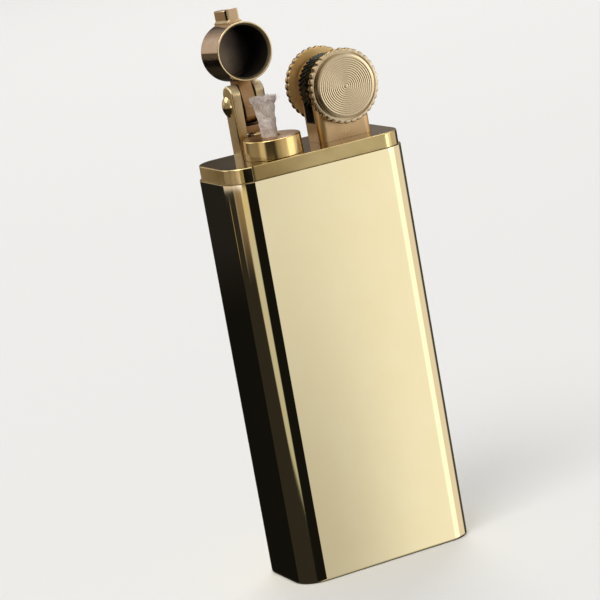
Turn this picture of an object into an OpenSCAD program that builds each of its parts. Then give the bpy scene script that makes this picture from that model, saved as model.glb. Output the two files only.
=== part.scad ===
// Lift-arm petrol lighter in polished brass: a flat drawn case, a deck plate that
// carries a wick with a hinged snuffer cup, and a flint wheel between two thumb wheels.
// Millimetres. +X to the right, +Y to the back, +Z up; origin in the middle of the
// underside. The snuffer is drawn open.

/* [Case] */
// Width of the case, left to right
case_w = 28.6; // [26:0.1:36]
// Depth of the case, front to back
case_d = 14.45; // [13.6:0.05:18]
// Height of the case, underside to shoulder
case_h = 60; // [52:0.5:75]
// Radius of the case's upright corners
case_r = 3.4; // [2.4:0.1:5]
// Thickness of the drawn brass
case_wall = 0.7; // [0.5:0.05:1]
// Bevel round the foot of the case
case_bevel = 0.35; // [0.1:0.05:0.5]
// Thickness of the plate that closes the foot
base_t = 3; // [2.6:0.1:4]

/* [Deck plate] */
// Thickness of the deck plate above the case
deck_t = 2.1; // [1.6:0.1:3]
// Step from the case's outline in to the deck's
deck_inset = 0.28; // [0.1:0.02:0.5]
// Bevel round the deck's top edge
deck_bevel = 0.15; // [0.05:0.05:0.3]
// Depth of the rim that plugs the deck into the case
rim_h = 1.5; // [1:0.1:3]

/* [Wick] */
// Place of the wick and the snuffer, from the middle to the right
works_x = -4.65; // [-5:0.05:-4.4]
// Place of the wick, from the middle to the back
wick_y = -1.9; // [-2.1:0.05:-1.5]
// Radius of the collar round the wick
collar_r = 4.3; // [4:0.05:4.6]
// Height of the collar above the deck
collar_h = 2.8; // [2.2:0.1:3.2]
// Radius of the cotton wick
wick_r = 1.3; // [1:0.05:1.5]
// Height of the wick above the collar
wick_h = 5.8; // [3.5:0.1:5.8]
// Amount by which the frayed top is wider in radius
wick_fray = 0.15; // [0.05:0.05:0.2]
// Wall of the brass tube that holds the wick
wick_tube_wall = 0.25; // [0.2:0.05:0.4]
// Length of the wick tube below the deck
wick_tube_l = 6; // [4:0.5:12]
// Length of the wick inside the cotton
wick_tail = 14; // [8:1:30]

/* [Snuffer cup] */
// Outer radius of the snuffer cup
cup_r = 4.3; // [4.1:0.05:4.5]
// Wall of the cup
cup_wall = 0.5; // [0.35:0.05:0.6]
// Wall left at the cup's mouth, where it is chamfered inside
cup_lip = 0.25; // [0.15:0.05:0.3]
// Outer depth of the cup
cup_depth = 6.6; // [6.5:0.1:7.5]
// Rounding of the cup's closed end
cup_round = 0.5; // [0.2:0.05:0.8]
// Swing of the snuffer from closed to open, in degrees
open_angle = 93.5; // [88:0.5:100]
// Width of the finger tab
tab_w = 1.7; // [1.4:0.1:2.4]
// Height of the finger tab off the cup
tab_h = 2; // [1.4:0.1:3]
// Length of the finger tab along the cup
tab_l = 5.1; // [3.5:0.1:5.3]
// Thickness of the upright lip at the tab's end
tab_lip = 0.35; // [0.25:0.05:0.6]

/* [Snuffer arm and fork] */
// Place of the pivot, from the middle to the back
pivot_y = 5.75; // [5.55:0.05:5.9]
// Height of the pivot above the deck
pivot_h = 7.15; // [6.9:0.05:7.4]
// Width of the arm
arm_w = 2; // [1.6:0.05:2.2]
// Height of the arm where it meets the cup
arm_h = 2.4; // [2:0.1:3]
// Radius of the arm's round foot about the pivot
foot_r = 3.05; // [2.8:0.05:3.15]
// Forward lean of the arm's foot
foot_lean = 2.4; // [2:0.05:2.5]
// Width of the slot in the fork
slot_w = 2.5; // [2.4:0.05:2.8]
// Thickness of each ear of the fork
ear_t = 1.45; // [1.2:0.05:1.7]
// Depth of the fork, front to back
fork_d = 3.2; // [3:0.05:3.4]
// Rounding of the ears' outer corners at the top
ear_round = 0.9; // [0.4:0.05:1.1]
// Height of the ears above the pivot
ear_over = 3.1; // [2.8:0.05:3.2]
// Radius of the pivot rivet
rivet_r = 0.6; // [0.5:0.05:0.65]
// Radius of the rivet's domed heads
rivet_head_r = 1.55; // [1.2:0.05:1.7]
// Height of the rivet's domed heads
rivet_head_h = 0.65; // [0.4:0.05:0.9]
// Height of the friction shoe under the arm's foot
shoe_h = 1.1; // [0.9:0.05:1.4]
// Travel of the friction shoe
shoe_travel = 0.6; // [0.4:0.05:0.7]

/* [Wheels] */
// Place of the wheels and the flint, from the middle to the right
wheel_x = 6.9; // [6.6:0.05:7.4]
// Height of the wheel axis above the deck
wheel_h = 7.75; // [7.5:0.05:8.4]
// Radius of the thumb wheels over their beads
thumb_r = 5.55; // [5:0.05:5.6]
// Number of beads round each thumb wheel
thumb_beads = 32; // [28:1:40]
// Width of the beaded rim
thumb_rim = 1.5; // [1:0.05:1.6]
// Amount by which the turned face stands proud of the rim
thumb_proud = 0.5; // [0.3:0.05:1]
// Radius of the turned face
face_r = 4.65; // [4.3:0.05:4.7]
// Number of turned rings on each face
face_rings = 18; // [12:1:20]
// Depth of the turned rings
ring_depth = 0.07; // [0.04:0.01:0.1]
// Radius of the flint wheel over its teeth
flint_wheel_r = 4.7; // [4.4:0.05:4.8]
// Width of the flint wheel
flint_wheel_w = 2.5; // [2.3:0.05:2.6]
// Number of teeth on the flint wheel
teeth = 40; // [32:1:44]
// Slant of the teeth, in degrees
tooth_slant = 28; // [15:1:35]
// Depth of the teeth
tooth_depth = 0.3; // [0.2:0.02:0.36]
// Radius of the wheel axle
axle_r = 0.8; // [0.6:0.05:1]

/* [Wheel block] */
// Width of the block that carries the wheels
block_w = 8.3; // [8.1:0.1:8.8]
// Thickness of each cheek of the block
cheek_t = 1.3; // [1.1:0.05:1.4]
// Height of the slot's floor above the deck
block_floor = 2.8; // [2.4:0.05:3]
// Rounding of the block's upright edges
block_round = 1.1; // [0.6:0.05:1.2]
// Radius of the two screws that hold the block
block_screw_r = 0.6; // [0.5:0.05:0.65]
// Radius of those screws' heads
block_head_r = 1.1; // [0.9:0.05:1.1]
// Height of those screws' heads
block_head_h = 0.7; // [0.5:0.05:0.9]
// Length of those screws inside the block
block_screw_l = 1.9; // [1.4:0.1:2]
// Width of the washers between the block and the thumb wheels
washer_w = 0.35; // [0.25:0.05:0.5]
// Width of those washers round the axle
washer_rim = 1; // [0.7:0.1:1.2]

/* [Flint and its tube] */
// Radius of the flint
flint_r = 1.25; // [1.1:0.05:1.3]
// Length of the new flint
flint_l = 6; // [4:0.25:7]
// Wall of the flint tube
flint_tube_wall = 0.6; // [0.4:0.05:0.8]
// Length of the pusher under the flint
pusher_l = 3; // [2:0.25:5]
// Wire of the flint spring
spring_wire = 0.4; // [0.3:0.05:0.45]
// Number of curls in the flint spring
spring_curls = 20; // [14:1:24]

/* [Screws in the foot] */
// Radius of the flint screw's head
flint_head_r = 2.6; // [2.5:0.05:2.8]
// Length of the flint screw above its head
flint_screw_l = 12; // [9:0.5:16]
// Place of the filler screw, from the middle to the right
filler_x = -6; // [-6.6:0.1:-5.4]
// Radius of the filler screw's head
filler_head_r = 3.2; // [2.9:0.05:3.4]
// Radius of the filler screw's thread
filler_r = 2.1; // [1.8:0.05:2.3]
// Length of the filler screw above its head
filler_l = 5; // [4:0.25:7]
// Height of both screws' heads
head_h = 1.2; // [1:0.05:1.4]
// Width of the screwdriver slots
driver_w = 0.8; // [0.5:0.05:1]
// Depth of the screwdriver slots
driver_deep = 0.6; // [0.4:0.05:0.8]
// Distance of the heads inside the foot
head_sunk = 0.25; // [0.1:0.05:0.4]
// Thickness of the sealing washers
seal_t = 0.5; // [0.4:0.05:0.7]

/* [Clearances] */
// Gap between pieces that run on each other
run_gap = 0.05; // [0.03:0.01:0.08]
// Gap between the closed cup and the collar
close_gap = 0.1; // [0.08:0.01:0.15]
// Gap round soft pieces
soft_gap = 0.15; // [0.1:0.05:0.25]
// Gap between the flint wheel and its slot on each side
wheel_gap = 0.15; // [0.1:0.05:0.2]
// Gap between a thumb wheel and its washer
washer_gap = 0.05; // [0.03:0.01:0.08]

/* [Hidden] */
$fn = 64;
tiny = 0.01; // overlap that joins solids
over = 1; // overshoot of a cut past its piece

// deck
deck_w = case_w - 2 * deck_inset;
deck_d = case_d - 2 * deck_inset;
deck_r = case_r - deck_inset;
deck_z = case_h + deck_t;
plug_z = case_h - rim_h;
inner_w = case_w - 2 * case_wall;
inner_d = case_d - 2 * case_wall;
inner_r = case_r - case_wall;

// wick
collar_z = deck_z + collar_h;
collar_edge = 0.2;
fray_share = 0.4;
fray_l = wick_h * fray_share;
fray_round = 0.5;
wick_tube_r = wick_r + wick_tube_wall;
wick_foot_z = plug_z - wick_tube_l - wick_tail;

// snuffer, placed by its pivot
pivot_z = deck_z + pivot_h;
reach = pivot_y - wick_y;
mouth_z = collar_z + close_gap;
arm_up = arm_h / 2;
arm_rise = 0.4;
arm_belly = foot_lean - (foot_lean - arm_up) * arm_rise;
arm_bore = rivet_r + run_gap;
tab_flare = 0.3;
tab_taper = 0.1;
tab_edge = 0.2;
tab_step = 0.12;
tab_drop = 0.3;
tab_groove = 0.35;
tab_groove_deep = 0.2;
cup_chamfer = 0.5;

// fork
fork_w = slot_w + 2 * ear_t;
fork_back = deck_d / 2 - deck_bevel;
fork_front = fork_back - fork_d;
fork_mid = (fork_back + fork_front) / 2;
ear_top_r = fork_d / 2;
shoe_top = pivot_z - foot_r - run_gap;
shoe_z = shoe_top - shoe_h;
shoe_front_inset = 0.2;
shoe_back_inset = 0.1;
shoe_front = fork_front + shoe_front_inset;
shoe_back = fork_back - shoe_back_inset;
shoe_spare = 0.15;
shoe_stem_l = 1.2;
fork_floor = shoe_z - shoe_travel - shoe_spare;
peg_r = 0.5;
arm_washer_t = (slot_w - arm_w) / 2 - run_gap;
arm_washer_rim = 0.9;
shoe_wire = 0.25;
shoe_coil_r = 0.7;
shoe_curls = 4;

// wheels
axle_z = deck_z + wheel_h;
slot_half = flint_wheel_w / 2 + wheel_gap;
cheek_out = slot_half + cheek_t;
rim_in = cheek_out + washer_w + 2 * washer_gap;
rim_out = rim_in + thumb_rim;
face_out = rim_out + thumb_proud;
axle_sunk = 0.6;
axle_end = face_out - axle_sunk;
washer_r = axle_r + washer_rim;
bead_spread = 1.2;
bead_r = bead_spread * PI * thumb_r / thumb_beads;
ring_gap = 0.3;
ring_gap_deep = 0.35;
wheel_edge = 0.25;
block_top_r = block_w / 2;
block_z = deck_z + block_floor;

// flint, from the wheel down
flint_gap = 0.1;
flint_bore = flint_r + flint_gap;
flint_tube_r = flint_bore + flint_tube_wall;
flint_tube_up = 1;
screw_web = 0.2;
block_screw_x = flint_tube_r + screw_web + block_head_r;
flint_top = axle_z - flint_wheel_r - run_gap;
flint_z = flint_top - flint_l;
pusher_z = flint_z - pusher_l;

// screws, from the foot up
head_edge = 0.2;
seal_z = head_sunk + head_h;
plate_seat_z = seal_z + seal_t;
flint_screw_top = plate_seat_z + flint_screw_l;
tip_r = 0.75;
tip_l = 1.5;
filler_neck_wall = 0.9;
filler_neck_r = filler_r + filler_neck_wall;
filler_short = 0.5;
seal_in = 0.1;
screw_gap = 0.05;

// ---- shared shapes ----

// rounded rectangle made of true arcs
module plan(w, d, r) {
    square([w - 2 * r, d], center = true);
    square([w, d - 2 * r], center = true);
    for (x = [-1, 1], y = [-1, 1])
        translate([x * (w / 2 - r), y * (d / 2 - r)]) circle(r);
}

// side view of a slab with its lower and upper edges bevelled
module edge_view(w, h, low, high) {
    polygon([[-w / 2 + low, 0], [w / 2 - low, 0], [w / 2, low], [w / 2, h - high],
        [w / 2 - high, h], [-w / 2 + high, h], [-w / 2, h - high], [-w / 2, low]]);
}

// slab on the plan above, with bevelled lower and upper edges
module bevelled_slab(w, d, r, h, low, high) {
    translate([0, d / 2 - r, 0]) rotate([90, 0, 0])
        linear_extrude(d - 2 * r) edge_view(w, h, low, high);
    translate([-(w / 2 - r), 0, 0]) rotate([90, 0, 90])
        linear_extrude(w - 2 * r) edge_view(d, h, low, high);
    for (x = [-1, 1], y = [-1, 1])
        translate([x * (w / 2 - r), y * (d / 2 - r), 0]) rotate_extrude()
            polygon([[0, 0], [r - low, 0], [r, low], [r, h - high], [r - high, h], [0, h]]);
}

module rod(r, z0, z1) {
    translate([0, 0, z0]) cylinder(h = z1 - z0, r = r);
}

module tube(r_out, r_in, z0, z1) {
    difference() {
        rod(r_out, z0, z1);
        rod(r_in, z0 - over, z1 + over);
    }
}

// cylinder along Y between two places
module rod_y(r, y0, y1) {
    translate([0, y1, 0]) rotate([90, 0, 0]) cylinder(h = y1 - y0, r = r);
}

// cylinder along X between two places
module rod_x(r, x0, x1) {
    translate([x0, 0, 0]) rotate([0, 90, 0]) cylinder(h = x1 - x0, r = r);
}

module at_wick() { translate([works_x, wick_y, 0]) children(); }
module at_flint() { translate([wheel_x, 0, 0]) children(); }
module at_filler() { translate([filler_x, 0, 0]) children(); }
module at_axle() { translate([wheel_x, 0, axle_z]) children(); }
module at_pivot() { translate([works_x, pivot_y, pivot_z]) children(); }
module opened() { at_pivot() rotate([-open_angle, 0, 0]) children(); }

// helical spring of round wire: one unbroken tube that stands on z = 0
coil_steps = 8;
coil_sides = 6;
function coil_point(r, h, curls, k) =
    let (t = k / (coil_steps * curls), a = 360 * curls * t)
    [r * cos(a), r * sin(a), h * t];
function coil_ring(r, h, curls, wire, k) =
    let (p = coil_point(r, h, curls, k), a = 360 * k / coil_steps)
    [for (s = [0 : coil_sides - 1]) let (b = 360 * s / coil_sides)
        p + wire / 2 * [cos(a) * cos(b), sin(a) * cos(b), sin(b)]];
function coil_gap(r, h, curls, wire) =
    min([for (k = [coil_steps / 2 : coil_steps * 3 / 2])
        norm(coil_point(r, h, curls, k) - coil_point(r, h, curls, 0))]) - wire;
module coil(r, h, curls, wire) {
    echo(least_gap_between_curls = coil_gap(r, h - wire, curls, wire));
    rings = coil_steps * curls;
    points = [for (k = [0 : rings]) each coil_ring(r, h - wire, curls, wire, k)];
    sides = [for (k = [0 : rings - 1], s = [0 : coil_sides - 1])
        let (a = k * coil_sides + s, b = k * coil_sides + (s + 1) % coil_sides)
        each [[a, b, a + coil_sides], [b, b + coil_sides, a + coil_sides]]];
    first = [for (s = [1 : coil_sides - 2]) [0, s + 1, s]];
    last_ring = rings * coil_sides;
    last = [for (s = [1 : coil_sides - 2]) [last_ring, last_ring + s, last_ring + s + 1]];
    translate([0, 0, wire / 2]) polyhedron(points, concat(sides, first, last));
}

// ---- case ----

module case_shell() {
    color("khaki") difference() {
        bevelled_slab(case_w, case_d, case_r, case_h, case_bevel, 0);
        translate([0, 0, -over]) linear_extrude(case_h + 2 * over) plan(inner_w, inner_d, inner_r);
    }
}

module base_plate() {
    color("darkkhaki") difference() {
        linear_extrude(base_t) plan(inner_w, inner_d, inner_r);
        at_flint() {
            rod(flint_head_r + screw_gap, -over, plate_seat_z);
            rod(flint_tube_r, 0, base_t + over);
        }
        at_filler() {
            rod(filler_head_r + screw_gap, -over, plate_seat_z);
            rod(filler_neck_r, 0, base_t + over);
        }
    }
}

module deck_plate() {
    color("goldenrod") difference() {
        union() {
            translate([0, 0, case_h])
                bevelled_slab(deck_w, deck_d, deck_r, deck_t, 0, deck_bevel);
            translate([0, 0, plug_z])
                linear_extrude(rim_h + tiny) plan(inner_w, inner_d, inner_r);
        }
        at_flint() rod(flint_tube_r, 0, deck_z + over);
        at_wick() rod(wick_tube_r, 0, deck_z + over);
        fork_pegs(over);
        at_block_screws() {
            rod(block_screw_r, plug_z - over, deck_z + over);
            rod(block_head_r + screw_gap, plug_z - over, plug_z + block_head_h);
        }
    }
}

// ---- wick and tank ----

module wick_collar() {
    color("goldenrod") at_wick() difference() {
        rotate_extrude() polygon([[0, deck_z], [collar_r, deck_z],
            [collar_r, collar_z - collar_edge], [collar_r - collar_edge, collar_z], [0, collar_z]]);
        rod(wick_tube_r, deck_z - over, collar_z + over);
    }
}

module wick_tube() {
    color("peru") at_wick() tube(wick_tube_r, wick_r, plug_z - wick_tube_l, collar_z);
}

module wick() {
    top = collar_z + wick_h;
    wide = wick_r + wick_fray;
    color("ghostwhite") at_wick() rotate_extrude()
        polygon([[0, wick_foot_z], [wick_r, wick_foot_z], [wick_r, top - fray_l],
            [wide, top - fray_round], [wide - 2 * wick_fray, top], [0, top]]);
}

module cotton_wadding() {
    low = base_t + filler_l + soft_gap;
    color("white") difference() {
        translate([0, 0, low]) linear_extrude(plug_z - wick_tube_l - low)
            plan(inner_w - 2 * soft_gap, inner_d - 2 * soft_gap, inner_r - soft_gap);
        at_flint() rod(flint_tube_r + soft_gap, 0, case_h);
        at_wick() rod(wick_r, wick_foot_z, case_h);
    }
}

// ---- wheel block ----

module at_block_screws() {
    for (x = [-1, 1]) translate([wheel_x + x * block_screw_x, 0, 0]) children();
}

module wheel_block() {
    color("goldenrod") difference() {
        intersection() {
            translate([wheel_x, 0, deck_z]) linear_extrude(wheel_h + block_top_r)
                plan(block_w, 2 * cheek_out, block_round);
            union() {
                at_axle() rod_y(block_top_r, -cheek_out, cheek_out);
                translate([wheel_x - block_w / 2, -cheek_out, deck_z])
                    cube([block_w, 2 * cheek_out, wheel_h]);
            }
        }
        translate([wheel_x - block_w, -slot_half, block_z])
            cube([2 * block_w, 2 * slot_half, wheel_h + block_top_r]);
        at_axle() rod_y(axle_r + run_gap, -cheek_out - over, cheek_out + over);
        at_flint() {
            rod(flint_tube_r, deck_z - over, deck_z + flint_tube_up);
            rod(flint_bore, deck_z - over, block_z + over);
        }
        at_block_screws() rod(block_screw_r, deck_z - over, deck_z + block_screw_l + screw_gap);
    }
}

module block_screws() {
    color("silver") at_block_screws() {
        difference() {
            rod(block_head_r, plug_z, plug_z + block_head_h);
            translate([0, 0, plug_z])
                cube([driver_w / 2, 3 * block_head_r, block_head_h], center = true);
        }
        rod(block_screw_r, plug_z + block_head_h - tiny, deck_z + block_screw_l);
    }
}

// ---- fork, rivet and friction shoe ----

// riveted pegs under the fork; grow lengthens the holes that take them
module fork_pegs(grow) {
    for (x = [-1, 1]) translate([works_x + x * (slot_w + ear_t) / 2, fork_mid, 0])
        rod(peg_r, plug_z - grow, deck_z + tiny);
}

module fork_view() {
    top = pivot_h + ear_over;
    translate([fork_front, 0]) square([fork_d, top - ear_top_r]);
    translate([fork_mid, top - ear_top_r]) circle(ear_top_r);
}

// outline of the fork from the front, with the ears' outer corners rounded
module fork_front_view() {
    top = pivot_z + ear_over;
    translate([-fork_w / 2, deck_z]) square([fork_w, top - ear_round - deck_z]);
    translate([ear_round - fork_w / 2, deck_z]) square([fork_w - 2 * ear_round, top - deck_z]);
    for (s = [-1, 1]) translate([s * (fork_w / 2 - ear_round), top - ear_round]) circle(ear_round);
}

module snuffer_fork() {
    color("goldenrod") difference() {
        union() {
            intersection() {
                translate([works_x - fork_w / 2, 0, deck_z]) rotate([90, 0, 90])
                    linear_extrude(fork_w) fork_view();
                translate([works_x, fork_back + over, 0]) rotate([90, 0, 0])
                    linear_extrude(fork_d + 2 * over) fork_front_view();
            }
            fork_pegs(0);
        }
        translate([works_x - slot_w / 2, fork_front - over, fork_floor])
            cube([slot_w, fork_d + 2 * over, 2 * pivot_h]);
        at_pivot() rod_x(rivet_r, -fork_w, fork_w);
        translate([works_x, fork_mid, 0])
            rod(shoe_coil_r + shoe_wire / 2 + 2 * run_gap, deck_z - over, fork_floor + over);
    }
}

module pivot_rivet() {
    dome = (pow(rivet_head_r, 2) + pow(rivet_head_h, 2)) / (2 * rivet_head_h);
    color("gold") at_pivot() {
        rod_x(rivet_r, -fork_w / 2 - tiny, fork_w / 2 + tiny);
        for (s = [-1, 1]) rotate([0, s * 90, 0]) intersection() {
            translate([0, 0, fork_w / 2 + rivet_head_h - dome]) sphere(dome);
            rod(rivet_head_r, fork_w / 2, fork_w / 2 + rivet_head_h + over);
        }
    }
}

module arm_washers() {
    color("silver") at_pivot() for (s = [-1, 1]) rotate([0, s * 90, 0])
        tube(rivet_r + arm_washer_rim, rivet_r, slot_w / 2 - arm_washer_t, slot_w / 2);
}

module friction_shoe() {
    wide = slot_w - 2 * run_gap;
    color("rosybrown") {
        translate([works_x - wide / 2, shoe_front, shoe_z])
            cube([wide, shoe_back - shoe_front, shoe_h]);
        translate([works_x, fork_mid, 0])
            rod(shoe_coil_r - shoe_wire, shoe_z - shoe_stem_l, shoe_z + tiny);
    }
}

module friction_spring() {
    color("silver") translate([works_x, fork_mid, deck_z])
        coil(shoe_coil_r, shoe_z - deck_z, shoe_curls, shoe_wire);
}

// ---- snuffer, drawn closed about its pivot and swung open ----

module cup_outline() {
    translate([0, -reach, mouth_z - pivot_z]) children();
}

module snuffer_cup() {
    r = cup_r;
    t = cup_wall;
    h = cup_depth;
    c = cup_round;
    color("rosybrown") opened() cup_outline() rotate_extrude() difference() {
        union() {
            square([r - c, h]);
            square([r, h - c]);
            intersection() {
                translate([r - c, h - c]) circle(c);
                square([r, h]);
            }
        }
        translate([-t, -over]) square([r, h + over - t]);
        polygon([[0, -tiny], [r - cup_lip, -tiny], [r - t, cup_chamfer], [0, cup_chamfer]]);
    }
}

// side view of the arm: a bar from the cup that widens into the round foot
module arm_view() {
    intersection() {
        union() {
            polygon([[-reach, -arm_up], [0, -arm_belly], [0, arm_up], [-reach, arm_up]]);
            intersection() {
                circle(foot_r);
                polygon([[-tiny, -arm_belly], [foot_r / 2, -foot_lean],
                    [foot_r * 2, -foot_lean], [foot_r * 2, arm_up], [-tiny, arm_up]]);
            }
        }
        union() {
            circle(foot_r);
            translate([-2 * reach, -reach]) square([2 * reach, 2 * reach]);
        }
    }
}

module snuffer_arm() {
    color("rosybrown") opened() difference() {
        translate([-arm_w / 2, 0, 0]) rotate([90, 0, 90]) linear_extrude(arm_w) arm_view();
        cup_outline() rod(cup_r, -cup_depth, 2 * cup_depth);
        rod_x(arm_bore, -arm_w, arm_w);
    }
}

// section of the tab across the cup, flared into its foot, drawn in by inset each side
// and lower by drop
module tab_section(inset, drop) {
    half = tab_w / 2 - inset;
    foot = half + tab_flare;
    tip = half - tab_taper;
    low = -cup_r - tab_taper;
    out = -cup_r - tab_h + drop;
    polygon([
        [-foot, -cup_r / 2], [foot, -cup_r / 2], [foot, low], [half, low - 2 * tab_flare],
        [tip, out + tab_edge], [tip - tab_edge, out], [-tip + tab_edge, out],
        [-tip, out + tab_edge], [-half, low - 2 * tab_flare], [-foot, low]]);
}

// upright lip at the mouth's end, a groove behind it, and the body
module finger_tab() {
    lip_z = cup_depth - tab_l;
    color("rosybrown") opened() cup_outline() difference() {
        translate([0, 0, lip_z]) {
            linear_extrude(tab_lip) tab_section(0, 0);
            linear_extrude(tab_l) tab_section(tab_step + tab_groove_deep, tab_drop + tab_groove_deep);
            translate([0, 0, tab_lip + tab_groove]) linear_extrude(tab_l - tab_lip - tab_groove)
                tab_section(tab_step, tab_drop);
        }
        rod(cup_r, -over, cup_depth + over);
    }
}

// ---- wheels ----

module wheel_axle() {
    color("silver") at_axle() rod_y(axle_r, -axle_end, axle_end);
}

module flint_wheel() {
    half = flint_wheel_w / 2;
    side = sqrt(2) * tooth_depth;
    color("dimgray") at_axle() difference() {
        rotate([90, 0, 0]) rotate_extrude() polygon([[axle_r, -half],
            [flint_wheel_r - wheel_edge, -half], [flint_wheel_r, -half + wheel_edge],
            [flint_wheel_r, half - wheel_edge], [flint_wheel_r - wheel_edge, half],
            [axle_r, half]]);
        for (i = [0 : teeth - 1]) rotate([0, i * 360 / teeth, 0])
            translate([0, 0, flint_wheel_r]) rotate([0, 0, tooth_slant]) rotate([0, 45, 0])
                cube([side, 3 * flint_wheel_w, side], center = true);
    }
}

// thumb wheel that faces -Y, with its scalloped rim, a groove and the turned face inside it
module thumb_wheel() {
    pitch = face_r / face_rings;
    face = face_out - rim_in;
    difference() {
        union() {
            linear_extrude(thumb_rim) {
                circle(thumb_r - bead_r);
                for (i = [0 : thumb_beads - 1]) rotate(i * 360 / thumb_beads)
                    translate([thumb_r - bead_r, 0]) circle(bead_r);
            }
            rotate_extrude() polygon(concat([[0, thumb_rim / 2], [face_r, thumb_rim / 2]],
                [for (i = [face_rings : -1 : 1]) each [[i * pitch, face - ring_depth],
                    [(i - 0.5) * pitch, face]]],
                [[0, face - ring_depth]]));
        }
        tube(face_r + ring_gap, face_r, thumb_rim - ring_gap_deep, thumb_rim + over);
        rod(axle_r, -over, axle_end - rim_in);
    }
}

module front_thumb_wheel() {
    color("wheat") at_axle() rotate([90, 0, 0]) translate([0, 0, rim_in]) thumb_wheel();
}

module rear_thumb_wheel() {
    color("wheat") at_axle() rotate([-90, 0, 0]) translate([0, 0, rim_in]) thumb_wheel();
}

module wheel_washers() {
    color("silver") at_axle() for (s = [-1, 1]) rotate([s * 90, 0, 0])
        tube(washer_r, axle_r, cheek_out + washer_gap, rim_in);
}

// ---- flint feed ----

module flint_tube() {
    color("peru") at_flint() difference() {
        rod(flint_tube_r, plate_seat_z, deck_z + flint_tube_up);
        rod(flint_bore, plate_seat_z - over, deck_z + flint_tube_up + over);
    }
}

module flint() {
    color("slategray") at_flint() rod(flint_r, flint_z, flint_top);
}

module flint_pusher() {
    color("gold") at_flint() {
        rod(flint_r, pusher_z, flint_z);
        rod(tip_r, pusher_z - tip_l, pusher_z + tiny);
    }
}

module flint_spring() {
    color("silver") at_flint() translate([0, 0, flint_screw_top])
        coil(flint_r - spring_wire / 2, pusher_z - flint_screw_top, spring_curls, spring_wire);
}

// ---- screws in the foot ----

// slotted head, open side down
module slotted_head(r) {
    difference() {
        rotate_extrude() polygon([[0, head_sunk], [r - head_edge, head_sunk],
            [r, head_sunk + head_edge], [r, seal_z], [0, seal_z]]);
        translate([0, 0, head_sunk]) cube([3 * r, driver_w, 2 * driver_deep], center = true);
    }
}

module flint_screw() {
    color("goldenrod") at_flint() {
        slotted_head(flint_head_r);
        rod(flint_bore - screw_gap, seal_z - tiny, flint_screw_top);
        rod(tip_r, flint_screw_top - tiny, flint_screw_top + tip_l);
    }
}

module flint_seal() {
    color("firebrick") at_flint()
        tube(flint_head_r - seal_in, flint_bore - screw_gap + run_gap, seal_z, plate_seat_z);
}

module filler_neck() {
    color("peru") at_filler() tube(filler_neck_r, filler_r + screw_gap, plate_seat_z,
        base_t + filler_l);
}

module filler_screw() {
    color("goldenrod") at_filler() {
        slotted_head(filler_head_r);
        rod(filler_r, seal_z - tiny, plate_seat_z + filler_l - filler_short);
    }
}

module filler_seal() {
    color("firebrick") at_filler()
        tube(filler_head_r - seal_in, filler_r + run_gap, seal_z, plate_seat_z);
}

// ---- assembly ----

case_shell();
base_plate();
deck_plate();
wick_collar();
wick_tube();
wick();
cotton_wadding();
flint_tube();
wheel_block();
block_screws();
snuffer_fork();
pivot_rivet();
arm_washers();
snuffer_cup();
snuffer_arm();
finger_tab();
friction_shoe();
friction_spring();
wheel_axle();
flint_wheel();
front_thumb_wheel();
rear_thumb_wheel();
wheel_washers();
flint();
flint_pusher();
flint_spring();
flint_screw();
flint_seal();
filler_neck();
filler_screw();
filler_seal();
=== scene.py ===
"""Lift-arm petrol lighter in polished brass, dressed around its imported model."""

import math
import random

import bmesh
import bpy
from mathutils import Matrix, Vector, noise


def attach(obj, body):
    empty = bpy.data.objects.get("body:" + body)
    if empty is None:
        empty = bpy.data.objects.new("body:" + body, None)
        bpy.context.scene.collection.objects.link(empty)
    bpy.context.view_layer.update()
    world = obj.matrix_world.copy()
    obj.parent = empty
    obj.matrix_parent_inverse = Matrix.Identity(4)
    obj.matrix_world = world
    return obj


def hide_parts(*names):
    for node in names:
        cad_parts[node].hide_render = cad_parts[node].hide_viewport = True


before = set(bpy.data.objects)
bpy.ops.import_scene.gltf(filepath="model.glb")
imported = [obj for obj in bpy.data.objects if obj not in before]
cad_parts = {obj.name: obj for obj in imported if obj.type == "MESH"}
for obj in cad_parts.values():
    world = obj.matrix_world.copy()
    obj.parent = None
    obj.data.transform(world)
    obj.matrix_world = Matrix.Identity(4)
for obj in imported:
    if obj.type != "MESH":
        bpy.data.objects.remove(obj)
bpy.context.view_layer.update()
bpy.ops.object.select_all(action="DESELECT")


# ---- Camera and studio -------------------------------------------------------------
# A long lens looks at the front left of the lighter from a little above it, rolled so
# that the upright case leans in the picture. A pale table fills the view, and a studio
# of pale and dark cards stands round it for the mirrors of the brass.

MM = 0.001


def hex_colour(code):
    """An sRGB colour such as "EBDFB4" as linear red, green, blue and alpha."""
    parts = [int(code[i : i + 2], 16) / 255 for i in (0, 2, 4)]
    linear = [c / 12.92 if c <= 0.04045 else ((c + 0.055) / 1.055) ** 2.4 for c in parts]
    return (*linear, 1.0)


def node(tree, kind, settings=None, inputs=None):
    """A new shader node with its settings, and its inputs as values or linked sockets."""
    made = tree.nodes.new("ShaderNode" + kind)
    for name, value in (settings or {}).items():
        setattr(made, name, value)
    for name, value in (inputs or {}).items():
        if isinstance(value, bpy.types.NodeSocket):
            tree.links.new(value, made.inputs[name])
        else:
            made.inputs[name].default_value = value
    return made


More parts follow.
